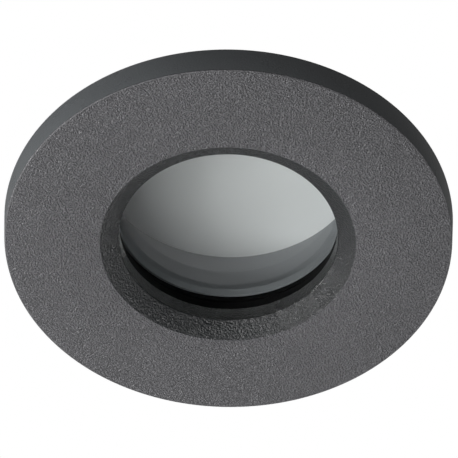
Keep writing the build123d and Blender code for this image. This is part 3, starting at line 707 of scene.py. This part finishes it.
def finish_table():
    """Every finish by its slot, as (maker, settings)."""
    colours = bpy.context.scene.finish_colours
    plastic = {"drift": 0.08, "grain": 5200.0, "depth": 0.008 * MM}
    metal = {"metallic": 1.0, "drift": 0.1, "depth": 0.003 * MM}
    return {
        "bezel_coat": (coat_finish, {}),
        "clear_glass": (glass_finish, {}),
        "black_silicone": (surface, {
            "colour": (0.002, 0.002, 0.0023, 1.0), "roughness": 0.6, "drift": 0.2,
            "grain": 4000.0, "depth": 0.004 * MM, "Specular_IOR_Level": 0.06}),
        "black_foam": (surface, {
            "colour": (0.03, 0.03, 0.03, 1.0), "roughness": 0.9, "drift": 0.25,
            "grain": 1500.0, "depth": 0.12 * MM}),
        "satin_aluminium": (surface, {
            "colour": colours.chamber, "roughness": 0.6, "drift": 0.03,
            "drift_scale": 25.0, "stretch": 0.1, "depth": 0.001 * MM}),
        "opal_diffuser": (surface, {
            "colour": colours.diffuser, "roughness": 0.55, "drift": 0.01,
            "drift_scale": 20.0, "depth": 0.0005 * MM}),
        "white_plastic": (surface, {
            "colour": (0.85, 0.85, 0.83, 1.0), "roughness": 0.5, **plastic}),
        "white_board": (surface, {
            "colour": (0.86, 0.86, 0.84, 1.0), "roughness": 0.35, "drift": 0.04}),
        "led_package": (surface, {
            "colour": (0.86, 0.7, 0.24, 1.0), "roughness": 0.3, "drift": 0.1}),
        "black_component": (surface, {
            "colour": (0.025, 0.025, 0.027, 1.0), "roughness": 0.55, **plastic}),
        "zinc_steel": (surface, {
            "colour": (0.66, 0.67, 0.69, 1.0), "roughness": 0.32, "drift_scale": 220.0, **metal}),
        "spring_steel": (surface, {
            "colour": (0.5, 0.5, 0.52, 1.0), "roughness": 0.22, "grain": 6000.0,
            "stretch": 0.2, **metal}),
        "cast_aluminium": (surface, {
            "colour": (0.62, 0.63, 0.645, 1.0), "roughness": 0.5, "grain": 2200.0,
            "metallic": 1.0, "depth": 0.02 * MM}),
        "satin_fin_aluminium": (surface, {
            "colour": (0.72, 0.73, 0.74, 1.0), "roughness": 0.34, "grain": 3000.0,
            "stretch": 0.06, "metallic": 1.0, "depth": 0.004 * MM}),
        "thermal_grey": (surface, {
            "colour": (0.42, 0.44, 0.46, 1.0), "roughness": 0.75, **plastic}),
        "black_nylon": (surface, {
            "colour": (0.028, 0.029, 0.031, 1.0), "roughness": 0.5, **plastic}),
        "grey_nylon": (surface, {
            "colour": (0.62, 0.63, 0.62, 1.0), "roughness": 0.5, **plastic}),
        "brass": (surface, {"colour": (0.78, 0.58, 0.28, 1.0), "roughness": 0.3, **metal}),
        "brown_insulation": (surface, {
            "colour": (0.14, 0.05, 0.022, 1.0), "roughness": 0.42, **plastic}),
        "blue_insulation": (surface, {
            "colour": (0.03, 0.11, 0.42, 1.0), "roughness": 0.42, **plastic}),
        "earth_insulation": (surface, {
            "colour": (0.16, 0.42, 0.05, 1.0), "roughness": 0.42, **plastic}),
        "solder": (surface, {"colour": (0.75, 0.75, 0.76, 1.0), "roughness": 0.2, **metal}),
        "grey_rubber": (surface, {
            "colour": (0.1, 0.1, 0.102, 1.0), "roughness": 0.75, **plastic}),
    }


FINISHES = {}


def finish_of(slot):
    """The material of a record slot, made the first time it is asked for."""
    if slot not in FINISHES:
        maker, settings = finish_table()[slot]
        FINISHES[slot] = maker(slot, **settings)
    return FINISHES[slot]


def paint(obj, slot):
    """Gives the whole piece the finish of a record slot."""
    obj.data.materials.clear()
    obj.data.materials.append(finish_of(slot))


# The bezel


SEAT_GAP = 0.05 * MM
BOSS_MARGIN = 0.4 * MM
BOSS_ROUND = 0.25 * MM
# A boss starts inside the neck's wall, at this share of the wall's middle radius
BOSS_START = 0.985
# A hole's tool runs this much past the lug's end
TOOL_OVERRUN = 1.02


def bezel_profile(sizes):
    """Corners of the casting's section as (radius, y), and which of them are rounded."""
    face = bottom_of("bezel").y
    neck_back = top_of("bezel").y
    flange = top_of("bezel").x
    lip_back = bottom_of("lens_gasket").y
    seat_back = top_of("lens_gasket").y
    seat = top_of("lens_gasket").x + SEAT_GAP
    bore = top_of("light_chamber").x + 2 * SEAT_GAP
    neck = bore + sizes.neck_wall
    recess_front = bottom_of("flange_gasket").y
    lip_front = face + sizes.chamfer_depth
    points = [
        (sizes.opening_radius, lip_back),
        (sizes.opening_radius, lip_front),
        (sizes.opening_radius + sizes.chamfer_width, face),
        (flange - sizes.side_draft, face),
        (flange, 0.0),
        (flange - sizes.rim_width, 0.0),
        (flange - sizes.rim_width, recess_front),
        (neck + sizes.recess_web, recess_front),
        (neck + sizes.recess_web, 0.0),
        (neck, 0.0),
        (neck, neck_back),
        (bore, neck_back),
        (bore, seat_back),
        (seat, seat_back),
        (seat, lip_back),
    ]
    soft = sizes.edge_round
    rounds = [(0, soft), (1, soft), (2, soft), (3, sizes.rim_round), (4, soft), (5, soft),
              (7, soft), (8, soft), (10, soft)]
    return points, rounds


def bracket_screw_places(side):
    """Where a clip bracket's two screws go in, as (y, z)."""
    low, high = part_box(f"{side}_bracket_screws")
    head = (high.y - low.y) / 2
    return [((low.y + high.y) / 2, low.z + head), ((low.y + high.y) / 2, high.z - head)]


def add_clip_boss(bezel, side, mid_wall):
    """The flat that a clip bracket sits on, with its two screw holes."""
    sizes = bpy.context.scene.bezel_sizes
    plate_low, plate_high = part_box(f"{side}_clip_bracket")
    start = mid_wall * BOSS_START
    xs = (start, plate_low.x) if side == "right" else (plate_high.x, -start)
    boss = slab((xs[0], plate_low.y - BOSS_MARGIN, plate_low.z - BOSS_MARGIN),
                (xs[1], plate_high.y + BOSS_MARGIN, plate_high.z + BOSS_MARGIN), BOSS_ROUND)
    join(bezel, boss)
    screw_low, screw_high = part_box(f"{side}_bracket_screws")
    for screw in bracket_screw_places(side):
        cut(bezel, rod(sizes.screw_hole, (screw_low.x, *screw), (screw_high.x, *screw)))


def add_lug(bezel, angle, neck, back, mid_wall):
    """A D-shaped lug on the neck, with the threaded hole of a heat sink screw."""
    sizes = bpy.context.scene.bezel_sizes
    place = Vector((math.cos(angle), 0, math.sin(angle))) * (neck + sizes.lug_standoff)
    front = Vector((0, back - sizes.lug_length, 0))
    rear = Vector((0, back, 0))
    join(bezel, rod(sizes.lug_radius, place + front, place + rear))
    web = slab((mid_wall, front.y, -sizes.lug_radius),
               (neck + sizes.lug_standoff, back, sizes.lug_radius))
    web.rotation_euler = (0, -angle, 0)
    join(bezel, settle(web))
    screw_front = Vector((0, bottom_of("heat_sink_screws").y, 0))
    cut(bezel, rod(sizes.screw_hole, place + screw_front, place + rear * TOOL_OVERRUN))


class WALLLIGHT_OT_bezel(bpy.types.Operator):
    """Turn the casting, then add its clip bosses, screw lugs and holes"""
    bl_idname = "walllight.bezel"
    bl_label = "Bezel"

    def execute(self, context):
        sizes = context.scene.bezel_sizes
        profile, rounds = bezel_profile(sizes)
        bezel = turned("bezel_casting", profile, rounds, sizes.steps)
        neck, back = profile[10]
        mid_wall = neck - sizes.neck_wall / 2
        for side in ("right", "left"):
            add_clip_boss(bezel, side, mid_wall)
        for step in range(sizes.lugs):
            add_lug(bezel, math.pi / 2 + math.tau * step / sizes.lugs, neck, back, mid_wall)
        smooth(mend(bezel))
        dress(bezel, "bezel_casting", "bezel_coat", "bezel")
        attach(bezel, "root")
        return {"FINISHED"}


# Glass, seals and springs


class WALLLIGHT_OT_glass(bpy.types.Operator):
    """Make the lens: a clear disc with a ground and rounded edge"""
    bl_idname = "walllight.glass"
    bl_label = "Lens glass"

    def execute(self, context):
        sizes = context.scene.glazing_sizes
        low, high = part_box("lens_glass")
        glass = rod(high.x, (0, low.y, 0), (0, high.y, 0), sides=256)
        apply_modifier(glass, "BEVEL", width=sizes.glass_round, segments=3,
                       limit_method="ANGLE")
        dress(smooth(glass, 10.0), "lens_disc", "clear_glass", "lens_glass")
        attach(glass, "root")
        return {"FINISHED"}


class WALLLIGHT_OT_gasket(bpy.types.Operator):
    """Turn the black U-section ring that grips the glass"""
    bl_idname = "walllight.gasket"
    bl_label = "Lens gasket"

    def execute(self, context):
        sizes = context.scene.glazing_sizes
        low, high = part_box("lens_gasket")
        glass_low, glass_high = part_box("lens_glass")
        front_inner = context.scene.bezel_sizes.opening_radius + sizes.front_inset
        back_inner = glass_high.x - sizes.back_overlap
        groove = glass_high.x + SEAT_GAP
        profile = [
            (front_inner, low.y), (high.x, low.y), (high.x, high.y), (back_inner, high.y),
            (back_inner, glass_high.y), (groove, glass_high.y), (groove, glass_low.y),
            (front_inner, glass_low.y),
        ]
        rounds = [(corner, sizes.seal_round) for corner in range(4)]
        ring = smooth(turned("lens_seal", profile, rounds, sizes.steps))
        dress(ring, "lens_seal", "black_silicone", "lens_gasket")
        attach(ring, "root")
        return {"FINISHED"}


BEND_STEPS = 8
TURN_STEPS = 32


def spring_points(sizes, side):
    """Half a spring's middle line: bridge, leg, coil and tail."""
    sign = 1 if side == "right" else -1
    pivot = Vector(JOINTS[f"{side}_clip"]["pos_m"])
    pad_low, pad_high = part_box(f"{side}_clip_pad")
    pad = (pad_low + pad_high) / 2
    along = math.hypot(pad.x - pivot.x, pad.y - pivot.y)
    turn = (math.atan2(pivot.y - pad.y, sign * (pad.x - pivot.x))
            + math.asin(sizes.arm_offset / along))
    way = Vector((math.cos(turn), -math.sin(turn), 0))
    out = Vector((math.sin(turn), math.cos(turn), 0))
    up = Vector((0, 0, 1))
    bend = sizes.bridge_round
    corner = out * sizes.coil_radius + way * sizes.leg + up * sizes.first_turn
    points = [corner - up * sizes.first_turn]
    centre = corner - way * bend - up * bend
    for step in range(BEND_STEPS + 1):
        angle = math.pi / 2 * step / BEND_STEPS
        points.append(centre + way * bend * math.cos(angle) + up * bend * math.sin(angle))
    pitch = 2 * sizes.wire_radius + sizes.turn_gap
    turns = sizes.whole_turns + turn / math.tau
    steps = round(turns * TURN_STEPS)
    start = math.pi / 2 - turn
    for step in range(steps + 1):
        angle = start + math.tau * turns * step / steps
        rise = sizes.first_turn + pitch * turns * step / steps
        points.append(Vector((math.cos(angle), math.sin(angle), 0)) * sizes.coil_radius
                      + up * rise)
    top = points[-1].z
    bracket_low, bracket_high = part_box(f"{side}_clip_bracket")
    plate = bracket_low.x if side == "right" else -bracket_high.x
    reach = sign * pivot.x - plate
    rise = pitch / (math.tau * sizes.coil_radius) * reach
    points.append(Vector((-reach, sizes.coil_radius, top + rise)))
    placed = [Vector((sign * (sign * pivot.x + p.x), pivot.y + p.y, p.z)) for p in points]
    return placed, pivot, top


def wind(sizes, points, sign):
    """One coil of wire along the points, above the clip's middle or mirrored below it."""
    select_nothing()
    bpy.ops.curve.primitive_nurbs_path_add()
    curve = bpy.context.object.data
    curve.splines.clear()
    spline = curve.splines.new("POLY")
    spline.points.add(len(points) - 1)
    for point, place in zip(spline.points, points):
        point.co = (place.x, place.y, sign * place.z, 1.0)
    curve.bevel_depth = sizes.wire_radius
    curve.bevel_resolution = 5
    curve.use_fill_caps = True
    bpy.ops.object.convert(target="MESH")
    return smooth(mend(settle(bpy.context.object)), 50.0)


class WALLLIGHT_OT_springs(bpy.types.Operator):
    """Wind the clips' torsion springs, two coils to each"""
    bl_idname = "walllight.springs"
    bl_label = "Clip springs"

    def execute(self, context):
        sizes = context.scene.spring_sizes
        for side in ("right", "left"):
            points, pivot, top = spring_points(sizes, side)
            for half, sign in (("upper", 1), ("lower", -1)):
                coil = wind(sizes, points, sign)
                dress(coil, f"{side}_spring_{half}", "spring_steel", f"{side}_clip_spring")
                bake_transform(coil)
        return {"FINISHED"}


class WALLLIGHT_OT_finishes(bpy.types.Operator):
    """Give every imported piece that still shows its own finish"""
    bl_idname = "walllight.finishes"
    bl_label = "Finishes"

    def execute(self, context):
        for piece in frame["record"]["subparts"]:
            node = NODES[piece["node"]]
            if not node.hide_render:
                paint(node, piece["material_slot"])
        return {"FINISHED"}


# The stage


# Each soft light's name, place, size and power
LIGHTS = (
    ("key", (-1.25, -1.5, 0.45), 0.75, 13.5),
    ("low_key", (0.15, -0.3, -0.3), 0.1, 0.4),
    ("front_key", (-0.3, -0.9, 0.2), 0.5, 2.7),
    ("high_key", (-0.6, -1.7, 1.0), 1.0, 6.0),
    ("side_graze", (-1.2, -0.12, -0.15), 0.3, 10.5),
    ("back_key", (0.6, 0.9, 0.7), 0.4, 4.2),
)


def one_sided_white(name, lit, mirrored):
    """A white sheet, clear from behind: what it gives off as light, and as seen in a mirror."""
    material, tree, shader = blank(name)
    out = next(n for n in tree.nodes if n.type == "OUTPUT_MATERIAL")
    tree.nodes.remove(shader)
    glow = add(tree, "ShaderNodeEmission")
    rays = add(tree, "ShaderNodeLightPath")
    seen = ramp(tree, rays.outputs["Is Camera Ray"], 0.0, 1.0, mirrored, 1.0)
    light = ramp(tree, rays.outputs["Is Diffuse Ray"], 0.0, 1.0, 0.0, lit - mirrored)
    tree.links.new(math_node(tree, "ADD", seen, light), glow.inputs["Strength"])
    clear = add(tree, "ShaderNodeBsdfTransparent")
    side = add(tree, "ShaderNodeNewGeometry")
    mix = add(tree, "ShaderNodeMixShader")
    tree.links.new(side.outputs["Backfacing"], mix.inputs["Fac"])
    tree.links.new(glow.outputs["Emission"], mix.inputs[1])
    tree.links.new(clear.outputs["BSDF"], mix.inputs[2])
    tree.links.new(mix.outputs["Shader"], out.inputs["Surface"])
    return material


def soft_light(name, place, size, power):
    """A square soft box that looks at the middle of the light's face."""
    select_nothing()
    bpy.ops.object.light_add(type="AREA", location=place)
    lamp = bpy.context.object
    lamp.name = name
    lamp.data.size = size
    lamp.data.energy = power
    lamp.rotation_mode = "QUATERNION"
    lamp.rotation_quaternion = Vector(place).to_track_quat("Z", "Y")


def studio_world(behind, seen):
    """A pale surrounding: how strong it is behind the wall, and as the camera sees it."""
    world = bpy.data.worlds.new("studio")
    world.use_nodes = True
    tree = world.node_tree
    background = next(n for n in tree.nodes if n.type == "BACKGROUND")
    background.inputs["Color"].default_value = (1.0, 1.0, 1.0, 1.0)
    apart = add(tree, "ShaderNodeSeparateXYZ")
    way = add(tree, "ShaderNodeTexCoord").outputs["Generated"]
    tree.links.new(way, apart.inputs[0])
    light = ramp(tree, apart.outputs["Y"], -0.1, 0.1, 0.0, behind)
    choice = add(tree, "ShaderNodeMix", data_type="FLOAT")
    rays = add(tree, "ShaderNodeLightPath")
    tree.links.new(rays.outputs["Is Camera Ray"], choice.inputs["Factor"])
    tree.links.new(light, choice.inputs["A"])
    choice.inputs["B"].default_value = seen
    tree.links.new(choice.outputs["Result"], background.inputs["Strength"])
    return world


def add_camera(stage):
    """The camera, at the photograph's angle and framing."""
    face = Vector((0, bottom_of("bezel").y, 0))
    away = Vector((0, -math.cos(stage.elevation), math.sin(stage.elevation)))
    select_nothing()
    bpy.ops.object.camera_add()
    camera = bpy.context.object
    camera.data.sensor_width = 36.0
    camera.data.lens = stage.lens
    camera.data.clip_start = 0.05
    camera.location = face + away * stage.distance
    camera.rotation_mode = "QUATERNION"
    look = (-away).to_track_quat("-Z", "Y")
    focal_pixels = PHOTO_PIXELS * stage.lens / camera.data.sensor_width
    right = math.atan(stage.aim_right / focal_pixels)
    up = math.atan(stage.aim_up / focal_pixels)
    nudge = (Matrix.Rotation(stage.roll, 4, "Z") @ Matrix.Rotation(-right, 4, "Y")
             @ Matrix.Rotation(up, 4, "X"))
    camera.rotation_quaternion = look @ nudge.to_quaternion()
    return camera


def add_wall(stage):
    """The white wall with its round cut-out."""
    select_nothing()
    bpy.ops.mesh.primitive_circle_add(vertices=128, radius=stage.wall_hole,
                                      fill_type="NOTHING", rotation=(math.pi / 2, 0, 0))
    wall = bpy.context.object
    wall.name = "wall"
    settle(wall)
    bpy.ops.object.mode_set(mode="EDIT")
    bpy.ops.mesh.select_all(action="SELECT")
    bpy.ops.mesh.extrude_region_move()
    grow = stage.reach / stage.wall_hole
    bpy.ops.transform.resize(value=(grow, 1.0, grow))
    bpy.ops.object.mode_set(mode="OBJECT")
    white = one_sided_white("wall_white", lit=stage.wall_glow, mirrored=stage.wall_glow)
    wall.data.materials.append(white)
    point_faces(wall, Vector((0, -1, 0)))


def add_floor(stage):
    """The pale floor below the light."""
    select_nothing()
    bpy.ops.mesh.primitive_plane_add(size=stage.reach * 2, location=(0, 0, -stage.floor_drop))
    floor = bpy.context.object
    floor.name = "floor"
    settle(floor)
    pale = one_sided_white("floor_pale", lit=stage.floor_glow, mirrored=stage.floor_mirror)
    floor.data.materials.append(pale)


class WALLLIGHT_OT_stage(bpy.types.Operator):
    """Set up the camera, the white wall with its cut-out, the pale floor and the lights"""
    bl_idname = "walllight.stage"
    bl_label = "Stage"

    def execute(self, context):
        scene = context.scene
        stage = scene.stage_settings
        scene.camera = add_camera(stage)
        add_wall(stage)
        add_floor(stage)
        scene.world = studio_world(stage.rear_light, stage.backdrop)
        for light in LIGHTS:
            soft_light(*light)
        scene.view_settings.view_transform = "Standard"
        scene.cycles.use_denoising = True
        return {"FINISHED"}


# The panel, and running the script


class WALLLIGHT_PT_panel(bpy.types.Panel):
    """Buttons that build the light, piece by piece"""
    bl_label = "Wall light"
    bl_idname = "WALLLIGHT_PT_panel"
    bl_space_type = "VIEW_3D"
    bl_region_type = "UI"
    bl_category = "Wall light"

    def draw(self, context):
        for operator in OPERATORS:
            self.layout.operator(operator.bl_idname)


SETTINGS = {
    "bezel_sizes": BezelSizes,
    "glazing_sizes": GlazingSizes,
    "spring_sizes": SpringSizes,
    "stage_settings": StageSettings,
    "finish_colours": FinishColours,
    "coat_texture": CoatTexture,
}
OPERATORS = (
    WALLLIGHT_OT_stage,
    WALLLIGHT_OT_bezel,
    WALLLIGHT_OT_glass,
    WALLLIGHT_OT_gasket,
    WALLLIGHT_OT_springs,
    WALLLIGHT_OT_finishes,
)


def register():
    for name, group in SETTINGS.items():
        bpy.utils.register_class(group)
        setattr(bpy.types.Scene, name, bpy.props.PointerProperty(type=group))
    for operator in OPERATORS:
        bpy.utils.register_class(operator)
    bpy.utils.register_class(WALLLIGHT_PT_panel)


def unregister():
    bpy.utils.unregister_class(WALLLIGHT_PT_panel)
    for operator in reversed(OPERATORS):
        bpy.utils.unregister_class(operator)
    for name, group in SETTINGS.items():
        delattr(bpy.types.Scene, name)
        bpy.utils.unregister_class(group)


def main():
    """Builds everything in order."""
    register()
    for operator in OPERATORS:
        family, name = operator.bl_idname.split(".")
        getattr(getattr(bpy.ops, family), name)()


if __name__ == "__main__":
    main()
